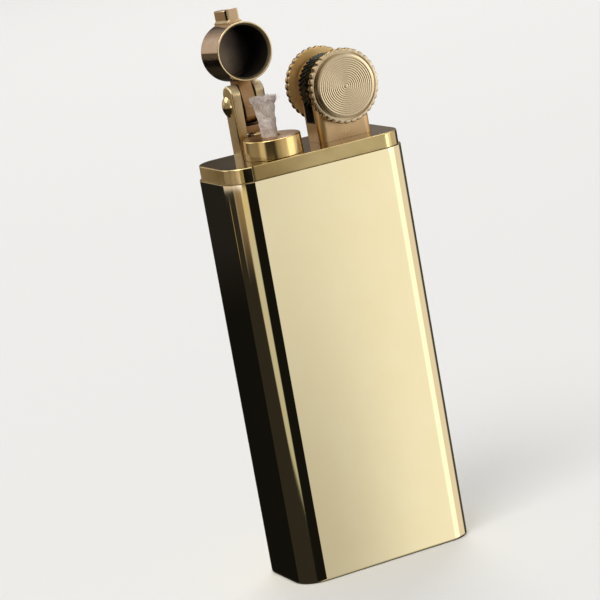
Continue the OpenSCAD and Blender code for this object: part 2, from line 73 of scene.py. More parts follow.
# place in millimetres, angles in degrees: fitted so that the case's edges lie where they should
camera_place = Vector((-169.5, -380.5, 128.0))
camera_turn = math.radians(23.515)
camera_tilt = math.radians(11.972)
camera_roll = math.radians(-10.202)
back = Vector((
    -math.sin(camera_turn) * math.cos(camera_tilt),
    -math.cos(camera_turn) * math.cos(camera_tilt),
    math.sin(camera_tilt),
))
level = Vector((math.cos(camera_turn), -math.sin(camera_turn), 0))
upright = back.cross(level)
side = math.cos(camera_roll) * level + math.sin(camera_roll) * upright
above = -math.sin(camera_roll) * level + math.cos(camera_roll) * upright
camera = bpy.data.objects.new("camera", bpy.data.cameras.new("camera"))
bpy.context.scene.collection.objects.link(camera)
camera.matrix_world = Matrix((side, above, back)).transposed().to_4x4()
camera.location = camera_place * MM
camera.data.sensor_width = 36
camera.data.lens = 174.21
camera.data.clip_start = 0.01
camera.data.clip_end = 20
bpy.context.scene.camera = camera
bpy.context.scene.view_settings.view_transform = "Standard"

# The world: plain soft light all round, and for mirror rays a studio of pale and dark cards.
# Bearings are in degrees, and heights are the upward part of a ray's direction.
world = bpy.data.worlds.new("studio")
bpy.context.scene.world = world
world.use_nodes = True
sky = world.node_tree
sky_background = sky.nodes["Background"]
direction = node(sky, "TexCoord").outputs["Generated"]
sky_parts = node(sky, "SeparateXYZ", inputs={0: direction})
front_part = node(sky, "Math", {"operation": "MULTIPLY"}, {0: sky_parts.outputs["Y"], 1: -1.0})
left_part = node(sky, "Math", {"operation": "MULTIPLY"}, {0: sky_parts.outputs["X"], 1: -1.0})
bearing = node(
    sky, "Math", {"operation": "ARCTAN2"}, {0: left_part.outputs[0], 1: front_part.outputs[0]},
).outputs[0]
height = sky_parts.outputs["Z"]


def ramp(value, start, end, low=0.0, high=1.0):
    """A value that runs smoothly from low to high while another runs from start to end."""
    return node(
        sky, "MapRange", {"interpolation_type": "SMOOTHSTEP"},
        {"Value": value, "From Min": start, "From Max": end, "To Min": low, "To Max": high},
    ).outputs[0]


def card(before, share, inside):
    """The studio's colour, changed by a share to another colour or to another studio's."""
    other = (*inside, 1.0) if isinstance(inside, tuple) else inside
    return node(sky, "Mix", {"data_type": "RGBA"}, {0: share, 6: before, 7: other}).outputs[2]


def past(start, end):
    """The share past a bearing, in degrees from the front (0) to the left (90) and back."""
    return ramp(bearing, math.radians(start), math.radians(end))


def both(first, second):
    """Where two shares meet."""
    return node(sky, "Math", {"operation": "MULTIPLY"}, {0: first, 1: second}).outputs[0]


def leaning(value, factor, added):
    """One value times a factor, plus another: an edge that leans across the horizon."""
    return node(
        sky, "Math", {"operation": "MULTIPLY_ADD"}, {0: value, 1: factor, 2: added},
    ).outputs[0]


def round_horizon(first, *cards):
    """Cards one after another round the horizon: start and end bearing of each, and its colour."""
    room = card((*first, 1.0), 0.0, first)
    for start_at, end_at, colour in cards:
        room = card(room, past(start_at, end_at), colour)
    return room


# round the horizon from the back by the right, the front and the left to the back again
DARK_ROOM, PALE_WALL, WINDOW = (0.06, 0.055, 0.045), (0.86, 0.78, 0.74), (1.35, 1.33, 1.3)
WHITE_CARD, CARD_SHADE, BLACK_CARD = (1.02, 1.0, 0.98), (0.8, 0.79, 0.79), (0.008, 0.0075, 0.007)
SIDE_CARD, OCHRE, EDGE_LINE = (0.6, 0.57, 0.48), (0.27, 0.19, 0.12), (0.3, 0.26, 0.23)
DIM_LEFT, DARK_LEFT, GOLD_LINE = (0.028, 0.024, 0.021), (0.017, 0.0155, 0.0165), (0.36, 0.28, 0.13)
LOW_LEFT, LOW_CARD, UPPER_EDGE = (0.007, 0.0065, 0.006), (0.58, 0.56, 0.54), (0.22, 0.18, 0.14)
SIDE_TOP, SIDE_FOOT = (0.7, 0.58, 0.36), (0.52, 0.5, 0.39)
STRIP_LIGHT = (4.5, 4.5, 4.5)
studio = round_horizon(
    DARK_ROOM, (-112, -100, PALE_WALL), (-66, -58, WINDOW), (-38, -31, WHITE_CARD),
    (-26.2, -22.6, CARD_SHADE),
)
low_front = ramp(height, -0.17, -0.3)
studio = card(studio, both(low_front, past(-25.4, -22.8)), LOW_CARD)
studio = card(studio, past(-22.4, -21.2), BLACK_CARD)
# the side card ends lower down the nearer it is to the front
side_limit = ramp(leaning(bearing, -0.05, height), -0.304, -0.288)
side_edge = past(21.5, 26.5)
# its far edge leans, and so the card grows narrower downwards
far_edge = ramp(leaning(height, -2.9, bearing), math.radians(83), math.radians(89))
side_card = card((*SIDE_CARD, 1.0), ramp(height, -0.19, -0.17), SIDE_TOP)
side_card = card(side_card, ramp(height, -0.2, -0.27), SIDE_FOOT)
studio = card(studio, side_edge, DIM_LEFT)
studio = card(studio, both(side_limit, side_edge), side_card)
studio = card(studio, past(48, 54), OCHRE)
studio = card(studio, both(ramp(height, -0.17, -0.2), far_edge), DIM_LEFT)
studio = card(studio, both(ramp(height, -0.2, -0.18), past(78, 82)), EDGE_LINE)
studio = card(studio, past(83, 88), DIM_LEFT)
studio = card(studio, both(ramp(height, -0.157, -0.15), past(85, 90)), UPPER_EDGE)
gold_span = both(ramp(height, -0.198, -0.184), ramp(height, -0.168, -0.173))
studio = card(studio, both(gold_span, past(115.5, 117)), GOLD_LINE)
studio = card(studio, past(118, 121), DARK_LEFT)
studio = card(studio, both(ramp(height, -0.18, -0.21), past(118, 121)), LOW_LEFT)
underneath = round_horizon(
    (0.02, 0.018, 0.015), (-75, -60, (0.5, 0.46, 0.4)), (-18, 10, (0.03, 0.026, 0.02)),
)
studio = card(studio, ramp(height, -0.31, -0.38), underneath)

# nearer the level of the eye the cards stand a little further round
level_cards = round_horizon(
    (0.24, 0.22, 0.2), (-176, -168, (0.085, 0.07, 0.055)), (-159, -152, (0.34, 0.3, 0.26)),
    (-112, -100, (0.55, 0.5, 0.46)), (-90, -78, (0.95, 0.92, 0.88)), (-75, -62, (2.0, 1.95, 1.85)),
    (-40, -30, (0.82, 0.79, 0.75)), (-18, 2, (0.5, 0.46, 0.4)), (2, 20, (0.06, 0.055, 0.05)),
    (50, 62, (0.85, 0.84, 0.8)), (72, 86, (0.36, 0.33, 0.3)), (120, 146, (0.16, 0.14, 0.12)),
    (150, 155, (0.55, 0.42, 0.26)),
)
over_table = both(ramp(height, -0.005, 0.03), past(128, 140))
level_cards = card(level_cards, over_table, (0.68, 0.64, 0.6))
level_cards = card(level_cards, both(over_table, past(166, 176)), (0.4, 0.34, 0.29))
studio = card(studio, both(ramp(height, -0.155, -0.149), past(95, 115)), level_cards)
# the narrow span of heights that the deck's side reflects has cards of its own
deck_heights = both(ramp(height, -0.1668, -0.1652), ramp(height, -0.1585, -0.1595))
deck_span = both(deck_heights, past(148, 135))
for start_at, end_at, colour in (
    (20, 22, BLACK_CARD), (37, 45, (1.6, 1.5, 1.7)), (56, 66, (0.85, 0.74, 0.72)),
    (80, 90, (0.74, 0.64, 0.58)),
):
    studio = card(studio, both(deck_span, past(start_at, end_at)), colour)
# a strip light at the front right draws the white line on the corner
strip_span = both(ramp(height, -0.1625, -0.161), ramp(height, -0.152, -0.154))
strip = both(strip_span, both(past(-50, -44), past(-30, -35)))
studio = card(studio, strip, STRIP_LIGHT)
studio = card(studio, ramp(height, -0.13, -0.115), level_cards)

# above them the room is dim, with a lamp behind on the left and a large soft box overhead
studio = card(studio, ramp(height, 0.3, 0.48), (0.62, 0.6, 0.56))
lamp_width = both(past(112, 124), past(174, 162))
left_lamp = both(both(ramp(height, 0.33, 0.38), lamp_width), ramp(height, 0.8, 0.7))
studio = card(studio, left_lamp, (2.8, 2.75, 2.6))
studio = card(studio, ramp(height, 0.8, 0.9), (2.4, 2.35, 2.2))
rays = node(sky, "LightPath")
seen = node(
    sky, "Mix", {"data_type": "RGBA"},
    {0: rays.outputs["Is Glossy Ray"], 6: (0.66, 0.66, 0.66, 1.0), 7: studio},
)
sky.links.new(seen.outputs[2], sky_background.inputs["Color"])


def lamp(name, place, aim, size, power):
    """A soft square lamp at a place, turned to a point, both in millimetres."""
    light = bpy.data.lights.new(name, "AREA")
    light.size = size * MM
    light.energy = power
    made = bpy.data.objects.new(name, light)
    bpy.context.scene.collection.objects.link(made)
    made.location = Vector(place) * MM
    away = Vector(place) - Vector(aim)
    made.rotation_mode = "QUATERNION"
    made.rotation_quaternion = away.to_track_quat("Z", "Y")


lamp("key_lamp", (-800, -600, 1300), (0, 0, 50), 800, 12)
lamp("back_lamp", (500, 900, 1050), (0, 0, 60), 700, 7)

bpy.ops.mesh.primitive_plane_add(size=8, location=(0, 0, 0))
table = bpy.context.object
table.name = "table"
table_finish = bpy.data.materials.new("matt_card")
table_finish.use_nodes = True
table_shader = table_finish.node_tree.nodes["Principled BSDF"]
table_shader.inputs["Base Color"].default_value = hex_colour("D9D8D6")
table_shader.inputs["Roughness"].default_value = 0.9
table_shader.inputs["Specular IOR Level"].default_value = 0.1
table.data.materials.append(table_finish)
table.visible_glossy = False


# ---- Case --------------------------------------------------------------------------
# Deep-drawn brass tube of rounded rectangular outline, 0.7 mm thick, open at the top
# and the foot. Buffed to a mirror on the wheel and left without lacquer.

def start(name, add, **sizes):
    """A new primitive in millimetres, alone in the selection and in edit mode."""
    if bpy.context.object and bpy.context.object.mode != "OBJECT":
        bpy.ops.object.mode_set(mode="OBJECT")
    bpy.ops.object.select_all(action="DESELECT")
    scale = sizes.pop("scale", None)
    add(**sizes)
    piece = bpy.context.object
    piece.name = name
    piece.data.name = name
    if scale:
        piece.scale = scale
        bpy.ops.object.transform_apply(location=False, rotation=False, scale=True)
    bpy.ops.object.mode_set(mode="EDIT")
    return piece


def pick(kind, test):
    """Selects the vertices, edges or faces of the mesh in edit mode by middle and direction."""
    bpy.ops.mesh.select_mode(type=kind)
    bpy.ops.mesh.select_all(action="DESELECT")
    mesh = bmesh.from_edit_mesh(bpy.context.edit_object.data)
    mesh.normal_update()
    if kind == "VERT":
        for v in mesh.verts:
            v.select_set(bool(test(v.co, v.normal)))
    if kind == "EDGE":
        for e in mesh.edges:
            a, b = (v.co for v in e.verts)
            e.select_set(bool(test((a + b) / 2, (b - a).normalized())))
    if kind == "FACE":
        for f in mesh.faces:
            f.select_set(bool(test(f.calc_center_median(), f.normal)))
    mesh.select_flush_mode()
    bmesh.update_edit_mesh(bpy.context.edit_object.data)


def bevel(width, segments, profile=0.5):
    """Bevels the edges that are selected."""
    bpy.ops.mesh.bevel(
        offset=width, offset_type="OFFSET", segments=segments, profile=profile,
        affect="EDGES", clamp_overlap=True,
    )


def alone(piece):
    """Leaves edit mode with only this piece selected."""
    if bpy.context.object and bpy.context.object.mode != "OBJECT":
        bpy.ops.object.mode_set(mode="OBJECT")
    bpy.ops.object.select_all(action="DESELECT")
    piece.select_set(True)
    bpy.context.view_layer.objects.active = piece


def modify(piece, kind, **settings):
    """Adds a modifier and applies it."""
    alone(piece)
    made = piece.modifiers.new(kind.lower(), kind)
    for name, value in settings.items():
        setattr(made, name, value)
    bpy.ops.object.modifier_apply(modifier=made.name)


def dress(piece, body, finishes, replaces=(), smooth=32, flat_sides=False):
    """Brings a piece from millimetres to the frame, smooths it, gives it its finishes if it has
    none, hangs it on its body and hides the parts it replaces.

    flat_sides weighs the normals while the piece is still in millimetres, where small faces
    count, so that its tall sides mirror as flat ones.
    """
    alone(piece)
    bpy.ops.object.transform_apply(location=True, rotation=True, scale=True)
    bpy.ops.object.shade_smooth_by_angle(angle=math.radians(smooth))
    if flat_sides:
        modify(piece, "WEIGHTED_NORMAL", keep_sharp=True, weight=100)
    piece.scale = (MM, MM, MM)
    bpy.ops.object.transform_apply(location=False, rotation=False, scale=True)
    if not flat_sides:
        modify(piece, "WEIGHTED_NORMAL", keep_sharp=True, weight=60)
    if not piece.data.materials:
        layers(piece, *finishes)
    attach(piece, body)
    if replaces:
        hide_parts(*replaces)
    return piece


def layers(piece, *finishes):
    """Gives a piece its finishes, numbered in this order."""
    for layer in finishes:
        piece.data.materials.append(layer)


def off_outline(p, w, d, r):
    """Distance of a point outside the rounded rectangle w by d; negative inside."""
    x, y = abs(p.x) - (w / 2 - r), abs(p.y) - (d / 2 - r)
    return math.hypot(max(x, 0), max(y, 0)) + min(max(x, y), 0) - r


def finish(name):
    """A new material's node tree and shader."""
    made = bpy.data.materials.new(name)
    made.use_nodes = True
    return made, made.node_tree, made.node_tree.nodes["Principled BSDF"]


def pattern(tree, size, detail=2.0, stretch=(1, 1, 1), roughness=0.5):
    """Noise whose grains are about size millimetres across, on object coordinates."""
    place = node(tree, "TexCoord").outputs["Object"]
    placed = node(tree, "Mapping", inputs={"Vector": place, "Scale": stretch})
    return node(
        tree, "TexNoise", inputs={
            "Vector": placed.outputs[0], "Scale": 1000 / size, "Detail": detail,
            "Roughness": roughness,
        },
    ).outputs["Fac"]


def spread(tree, value, low, high, at=(0.3, 0.7)):
    """A pattern's value brought to the range low to high."""
    return node(
        tree, "MapRange", inputs={
            "Value": value, "From Min": at[0], "From Max": at[1], "To Min": low, "To Max": high,
        },
    ).outputs[0]


EVEN = (1, 1, 1)


def brass(name, bright, dull, rough, wave, lines, line_size=0.12, stretch=(1, 1, 0.03)):
    """Bare metal: two tones of tarnish, a roughness range, slow waves and fine lines.

    wave, lines and line_size are in millimetres. Real polishing lines are about 0.01 mm
    apart, too fine to show, so they are drawn 0.1 to 0.4 mm apart.
    """
    made, tree, shader = finish(name)
    tone = pattern(tree, 5.0, 3.0)
    colour = node(
        tree, "Mix", {"data_type": "RGBA"},
        {0: spread(tree, tone, 0.0, 1.0), 6: hex_colour(bright), 7: hex_colour(dull)},
    )
    grain = pattern(tree, line_size, 2.0, stretch)
    waves = pattern(tree, 14.0, 1.0)
    slow = node(tree, "Bump", inputs={"Strength": 1.0, "Distance": wave * MM, "Height": waves})
    fine = node(
        tree, "Bump", inputs={
            "Strength": 1.0, "Distance": lines * MM, "Height": grain, "Normal": slow.outputs[0],
        },
    )
    smear = pattern(tree, 3.0, 4.0, (1, 1, 0.5))
    shader.inputs["Metallic"].default_value = 1.0
    tree.links.new(colour.outputs[2], shader.inputs["Base Color"])
    tree.links.new(spread(tree, smear, *rough), shader.inputs["Roughness"])
    tree.links.new(fine.outputs[0], shader.inputs["Normal"])
    return made


# buffed yellow brass, bare: a hard, clear reflection in pale yellow
polished_brass = brass("polished_brass", "F3E7BD", "F2E4B8", (0.02, 0.035), 0.0015, 0.00015)
# painted shade in the seam under the deck's edge: a dull brown line on the case's top rim
seam_painted_shade = brass("seam_painted_shade", "6A5636", "4A3A24", (0.35, 0.5), 0.001, 0.0004)

CASE_W, CASE_D, CASE_H, CASE_R, CASE_WALL = 28.6, 14.45, 60.0, 3.65, 0.7
FOOT_EDGE, MOUTH_EDGE, SEAM_H = 0.35, 0.12, 0.15
case = start(
    "case_shell_polished", bpy.ops.mesh.primitive_cube_add, size=1,
    scale=(CASE_W, CASE_D, CASE_H), location=(0, 0, CASE_H / 2),
)
pick("EDGE", lambda p, d: abs(d.z) > 0.9)
bevel(CASE_R, 24)
pick("FACE", lambda p, n: abs(n.z) > 0.9)
bpy.ops.mesh.delete(type="FACE")
modify(case, "SOLIDIFY", thickness=CASE_WALL, offset=-1, use_rim=True)
bpy.ops.object.mode_set(mode="EDIT")
pick("EDGE", lambda p, d: abs(p.z + CASE_H / 2) < 0.01 and abs(d.z) < 0.1
     and off_outline(p, CASE_W, CASE_D, CASE_R) > -0.05)
bevel(FOOT_EDGE, 4)
pick("EDGE", lambda p, d: abs(p.z - CASE_H / 2) < 0.01 and abs(d.z) < 0.1
     and off_outline(p, CASE_W, CASE_D, CASE_R) > -0.05)
bevel(MOUTH_EDGE, 4)
alone(case)
layers(case, polished_brass, seam_painted_shade)
# the top rim under the deck's edge takes the painted seam shade
for face in case.data.polygons:
    at_seam = face.normal.z > 0.3 and face.center.z > CASE_H / 2 - SEAM_H
    face.material_index = 1 if at_seam else 0
dress(case, "root", [], ["case_shell"])


# ---- Deck plate --------------------------------------------------------------------
# Milled brass plate, a little smaller than the case, with a plug that sits in the case's
# mouth. Its front is satin, its top is buffed and has tarnished, and its corners are
# rubbed bright.

def pull(x, y, z):
    """Extrudes the faces that are selected by a step."""
    bpy.ops.mesh.extrude_region_move(TRANSFORM_OT_translate={"value": (x, y, z)})


def cut(piece, cutter, operation="DIFFERENCE"):
    """Takes a second solid out of a piece, or keeps what both share, and removes it."""
    alone(piece)
    modify(piece, "BOOLEAN", object=cutter, operation=operation, solver="EXACT")
    bpy.data.objects.remove(cutter)


def bore(piece, x, y, radius, low, high):
    """Drills an upright hole through a piece."""
    drill = start(
        "drill", bpy.ops.mesh.primitive_cylinder_add, vertices=48, radius=radius,
        depth=high - low, location=(x, y, (low + high) / 2),
    )
    cut(piece, drill)


def darkened(made, axis, start, end, shade):
    """Darkens a finish along an axis of its piece, from one place to another in millimetres."""
    tree = made.node_tree
    shader = tree.nodes["Principled BSDF"]
    before = shader.inputs["Base Color"].links[0].from_socket
    place = node(tree, "SeparateXYZ", inputs={0: node(tree, "TexCoord").outputs["Object"]})
    share = node(
        tree, "MapRange", {"interpolation_type": "SMOOTHSTEP"},
        {"Value": place.outputs[axis], "From Min": start * MM, "From Max": end * MM},
    )
    mixed = node(
        tree, "Mix", {"data_type": "RGBA", "blend_type": "MULTIPLY"},
        {0: share.outputs[0], 6: before, 7: hex_colour(shade)},
    )
    tree.links.new(mixed.outputs[2], shader.inputs["Base Color"])


DECK_INSET, DECK_T, PLUG_H, DECK_EDGE = 0.28, 2.1, 1.5, 0.15
DECK_W, DECK_D, DECK_R = CASE_W - 2 * DECK_INSET, CASE_D - 2 * DECK_INSET, CASE_R - DECK_INSET
DECK_Z = CASE_H + DECK_T
FLINT_X, FLINT_TUBE_R = 6.9, 1.95
WORKS_X, WICK_Y, WICK_TUBE_R = -4.65, -1.9, 1.55
DRILL_REACH = 5
# brushed brass, drawn along the side with fine grit: a soft pale band, with painted shade that
# darkens it towards the left
deck_brass = brass(
    "satin_brass", "DAC793", "C4B07C", (0.42, 0.52), 0.003, 0.0005, 0.15, (0.03, 1, 1),
)
# painted shade: the side's colour darkens from the right towards the left end
darkened(deck_brass, 0, 5, -10, "C6BBAD")
# painted reflection: a near-black band on the side just beside the left corner
darkened(deck_brass, 0, -10.1, -10.7, "5A5448")
# brass rubbed bright by pockets at the corners: they mirror the cards clearly
deck_corner = brass(
    "rubbed_corner_brass", "D2BE8A", "C4B07C", (0.05, 0.09), 0.002, 0.0001, 0.15, EVEN,
)
# milled brass of the two ends, worn dull: broad, warm light without a mirror
deck_end = brass("rubbed_end_brass", "E8D09A", "C6A86C", (0.3, 0.42), 0.004, 0.0008, 0.15, EVEN)
# brass buffed where fingers can't reach, tarnished brown: a dark, wavy mirror
deck_top = brass(
    "deck_top_brass", "9A8560", "7E6B4A", (0.08, 0.14), 0.004, 0.0004, 0.15, (1, 0.03, 1),
)
deck = start(
    "deck_plate_satin", bpy.ops.mesh.primitive_cube_add, size=1,
    scale=(DECK_W, DECK_D, DECK_T), location=(0, 0, CASE_H + DECK_T / 2),
)
pick("EDGE", lambda p, d: abs(d.z) > 0.9)
bevel(DECK_R, 24)
pick("FACE", lambda p, n: n.z < -0.9)
bpy.ops.mesh.inset(thickness=CASE_WALL - DECK_INSET)
pull(0, 0, -PLUG_H)
pick("EDGE", lambda p, d: p.z > DECK_T / 2 - 0.01)
bevel(DECK_EDGE, 3)
alone(deck)
for x, y, tube_r in ((FLINT_X, 0, FLINT_TUBE_R), (WORKS_X, WICK_Y, WICK_TUBE_R)):
    bore(deck, x, y, tube_r, CASE_H - DRILL_REACH, CASE_H + DRILL_REACH)
layers(deck, deck_brass, deck_top, deck_corner, deck_end)
for face in deck.data.polygons:
    if face.normal.z > 0.99:
        face.material_index = 1
    elif 0.02 < abs(face.normal.x) < 0.98:
        face.material_index = 2
    elif abs(face.normal.x) >= 0.98:
        face.material_index = 3
dress(deck, "root", [], ["deck_plate"], flat_sides=True)


# ---- Wick collar -------------------------------------------------------------------
# Turned brass ring pressed on the wick tube. Its side is polished and its top is faced
# off on the lathe, which leaves a satin, slightly pink surface.

COLLAR_R, COLLAR_H = 4.3, 2.8
COLLAR_Z = DECK_Z + COLLAR_H
COLLAR_DRAFT, COLLAR_EDGE, COLLAR_FOOT = 0.1, 0.14, 0.1
WICK_R, WICK_ROOM, MOUTH_W, MOUTH_DEEP, MOUTH_BORE = 1.3, 0.35, 0.12, 0.1, 1.6
# lathe-turned and polished brass: a clear mirror with faint rings round it
turned_side = brass(
    "turned_side", "DABE82", "CDAE72", (0.07, 0.12), 0.001, 0.0003, 0.12, (0.03, 0.03, 1),
)
# lathe-faced brass, tarnished by the flame: satin and slightly pink
faced_brass = brass("faced_brass", "BFA285", "A98A6C", (0.24, 0.34), 0.002, 0.001, 0.2, EVEN)
collar = start(
    "wick_collar_turned", bpy.ops.mesh.primitive_cylinder_add, vertices=128, radius=COLLAR_R,
    depth=COLLAR_H, location=(WORKS_X, WICK_Y, DECK_Z + COLLAR_H / 2),
)
pick("FACE", lambda p, n: n.z > 0.9)
bpy.ops.transform.resize(value=(1 - COLLAR_DRAFT / COLLAR_R, 1 - COLLAR_DRAFT / COLLAR_R, 1))
pick("EDGE", lambda p, d: p.z > COLLAR_H / 2 - 0.01)
bevel(COLLAR_EDGE, 4)
pick("EDGE", lambda p, d: p.z < 0.01 - COLLAR_H / 2)
bevel(COLLAR_FOOT, 2)
pick("FACE", lambda p, n: n.z > 0.99)
bpy.ops.mesh.inset(thickness=COLLAR_R - COLLAR_DRAFT - COLLAR_EDGE - (WICK_R + WICK_ROOM))
bpy.ops.mesh.inset(thickness=MOUTH_W, depth=-MOUTH_DEEP)
pull(0, 0, -MOUTH_BORE)
alone(collar)
layers(collar, turned_side, faced_brass)
for face in collar.data.polygons:
    face.material_index = 1 if face.normal.z > 0.9 and face.center.z > 0 else 0
dress(collar, "root", [], ["wick_collar"])


# ---- Wick --------------------------------------------------------------------------
# Round cord of white cotton yarn, 2.6 mm thick, that runs down into the wadding. Its
# trimmed top has felted and spread, with loose threads standing off its edge.

WICK_TOP = COLLAR_Z + 5.9
WICK_FOOT = 37.0
WICK_LEAN, WICK_FLARE, TOP_FLARE, TOP_SHARE = -0.25, 0.28, 0.4, 0.25
THREADS, THREAD_TOP, WICK_FUZZ = 150, 0.15, 0.13
# undyed cotton yarn, spun and braided: matt, soft, off-white, with darker hollows between fibres.
# Its fibres are 0.02 mm thick, too fine to show, so the yarn's grain is drawn at 0.26 mm
cotton, tree, shader = finish("cotton_yarn")
yarn = pattern(tree, 0.26, 4.0, (1, 1, 0.7), 0.75)
dirt = pattern(tree, 1.6, 3.0)
tone = node(
    tree, "Mix", {"data_type": "RGBA"},
    {
        0: spread(tree, dirt, 0.0, 1.0, (0.35, 0.75)),
        6: hex_colour("E4DAD2"), 7: hex_colour("B4A292"),
    },
)
shade = node(
    tree, "Mix", {"data_type": "RGBA", "blend_type": "MULTIPLY"},
    {0: spread(tree, yarn, 0.75, 0.0), 6: tone.outputs[2], 7: hex_colour("A59A92")},
)
fuzz = node(tree, "Bump", inputs={"Strength": 0.8, "Distance": 0.1 * MM, "Height": yarn})
tree.links.new(shade.outputs[2], shader.inputs["Base Color"])
tree.links.new(fuzz.outputs[0], shader.inputs["Normal"])
shader.inputs["Roughness"].default_value = 0.95
shader.inputs["Sheen Weight"].default_value = 0.15
shader.inputs["Specular IOR Level"].default_value = 0.15

random.seed(7)
cord_r = WICK_R - WICK_FUZZ
wick = start(
    "wick_frayed", bpy.ops.mesh.primitive_cylinder_add, vertices=72, radius=cord_r,
    depth=WICK_TOP - WICK_FOOT, location=(0, 0, (WICK_TOP + WICK_FOOT) / 2),
)
bpy.ops.mesh.bisect(plane_co=(0, 0, COLLAR_Z - 0.5), plane_no=(0, 0, 1))
pick("EDGE", lambda p, d: abs(d.z) > 0.9 and p.z > 0)
bpy.ops.mesh.subdivide(number_cuts=44)
pick("FACE", lambda p, n: n.z > 0.9)
for _ in range(8):
    bpy.ops.mesh.inset(thickness=cord_r / 9)
alone(wick)
bpy.ops.object.transform_apply(location=True, rotation=True, scale=True)
for v in wick.data.vertices:
    up = (v.co.z - COLLAR_Z) / (WICK_TOP - COLLAR_Z)
    if up > 0:
        around = math.atan2(v.co.y, v.co.x)
        flare = 1 + WICK_FLARE * up + TOP_FLARE * up**6 + 0.04 * math.sin(3 * around + 9 * up) * up
        lump = noise.noise(Vector((1.7 * v.co.x, 1.7 * v.co.y, 1.5 * v.co.z)))
        grain = noise.noise(Vector((6 * v.co.x, 6 * v.co.y, 5 * v.co.z)))
        wide = flare + (0.14 * lump + 0.07 * grain) * min(1, 3 * up)
        v.co.x *= wide
        v.co.y *= 1 + (wide - 1) * 0.6
        ragged = noise.noise(Vector((1.3 * v.co.x, 1.3 * v.co.y, 5)))
        felt = noise.noise(Vector((4.5 * v.co.x, 4.5 * v.co.y, 9)))
        near_top = max(0, up - (1 - TOP_SHARE)) / TOP_SHARE
        v.co.z += (0.7 * ragged + 0.3 * felt - 0.25) * near_top
for _ in range(THREADS):
    around = random.uniform(0, 2 * math.pi)
    length = random.uniform(0.4, 1.0)
    strand = start(
        "thread", bpy.ops.mesh.primitive_cone_add, vertices=6, radius1=random.uniform(0.05, 0.09),
        radius2=0.035, depth=length, location=(0, 0, 0),
    )
    pick("EDGE", lambda p, d: abs(d.z) > 0.9)
    bpy.ops.mesh.subdivide(number_cuts=6)
    alone(strand)
    lean = random.uniform(0.1, 1.5)
    sway = random.uniform(0, 2 * math.pi)
    base = cord_r * 1.55 * math.sqrt(random.uniform(0.1, 1.0))
    foot = WICK_TOP - 0.5 - random.uniform(0, 0.35) - 0.35 * (base / cord_r) * lean * 0.4
    for v in strand.data.vertices:
        up = max(0, v.co.z / length + 0.5)
        away = base + math.sin(lean) * up * length + 0.12 * math.sin(6 * up + sway) * up
        v.co.x += away * math.cos(around + 0.25 * math.sin(4 * up + sway))
        v.co.y += away * math.sin(around + 0.25 * math.sin(4 * up + sway)) * 0.8
        v.co.z = min(foot + length * up * math.cos(lean), WICK_TOP + 0.1)
    alone(wick)
    strand.select_set(True)
    bpy.ops.object.join()
for v in wick.data.vertices:
    v.co.x += WORKS_X + WICK_LEAN * max(0, min(1, (v.co.z - COLLAR_Z + 0.4) / 0.5))
    v.co.y += WICK_Y
    v.co.z = min(v.co.z, WICK_TOP + THREAD_TOP)
dress(wick, "root", [cotton], ["wick"], smooth=60)


# ---- Snuffer fork ------------------------------------------------------------------
# Two ears milled from one brass bar, with rounded tops, pegged and riveted to the deck.
# The slot between them takes the arm's foot and the sprung shoe.

PIVOT = Vector((WORKS_X, 5.75, DECK_Z + 7.15))
SLOT_W, EAR_T, FORK_D, EAR_OVER, EAR_ROUND = 2.5, 1.45, 3.2, 3.1, 0.85
FORK_W = SLOT_W + 2 * EAR_T
FORK_INSET, SPRING_BORE, FORK_EDGE, CUTTER_H = 0.15, 0.92, 0.2, 20
FORK_MID = DECK_D / 2 - FORK_INSET - FORK_D / 2
FORK_TOP = PIVOT.z + EAR_OVER
SHOE_BELOW, SHOE_H, SHOE_TRAVEL, SHOE_ROOM = 3.1, 1.1, 0.6, 0.15
SHOE_TOP = PIVOT.z - SHOE_BELOW
FORK_FLOOR = SHOE_TOP - SHOE_H - SHOE_TRAVEL - SHOE_ROOM


def soften(piece, width, segments, angle):
    """Rounds every edge of a piece that turns by more than an angle in degrees."""
    modify(
        piece, "BEVEL", width=width, segments=segments, limit_method="ANGLE",
        angle_limit=math.radians(angle),
    )


def coat(piece, flat, rubbed, limit=0.97):
    """One finish on the flat faces of a piece, another on the rounded edges between them."""
    alone(piece)
    layers(piece, flat, rubbed)
    for face in piece.data.polygons:
        face.material_index = 0 if max(abs(part) for part in face.normal) > limit else 1


fork = start(
    "snuffer_fork_milled", bpy.ops.mesh.primitive_cube_add, size=1,
    scale=(FORK_W, FORK_D, FORK_TOP - DECK_Z),
    location=(WORKS_X, FORK_MID, (FORK_TOP + DECK_Z) / 2),
)
pick("EDGE", lambda p, d: abs(d.x) > 0.9 and p.z > 0)
bevel(FORK_D / 2 - 0.01, 12)
alone(fork)
slot_cutter = start(
    "slot_cutter", bpy.ops.mesh.primitive_cube_add, size=1, scale=(SLOT_W, 3 * FORK_D, CUTTER_H),
    location=(WORKS_X, FORK_MID, FORK_FLOOR + CUTTER_H / 2),
)
cut(fork, slot_cutter)
bpy.ops.object.transform_apply(location=True, rotation=True, scale=True)
bpy.ops.object.mode_set(mode="EDIT")
pick("EDGE", lambda p, d: abs(p.x - WORKS_X) > FORK_W / 2 - 0.01 and p.z > DECK_Z + 0.01)
bevel(EAR_ROUND, 10)
bore(fork, WORKS_X, FORK_MID, SPRING_BORE, DECK_Z - 1, FORK_FLOOR + 1)
soften(fork, FORK_EDGE, 4, 50)
# milled brass, brushed upwards and long in use: satin, pale, with soft reflections
worn_brass = brass("worn_brass", "E8D6AE", "D2B988", (0.3, 0.4), 0.006, 0.0006, 0.2, (1, 1, 0.05))
# the same brass rubbed bright on its edges and on the rivet's domes: small clear highlights
rivet_brass = brass("rubbed_brass", "DCC694", "C6AC78", (0.1, 0.17), 0.003, 0.0004, 0.2, EVEN)
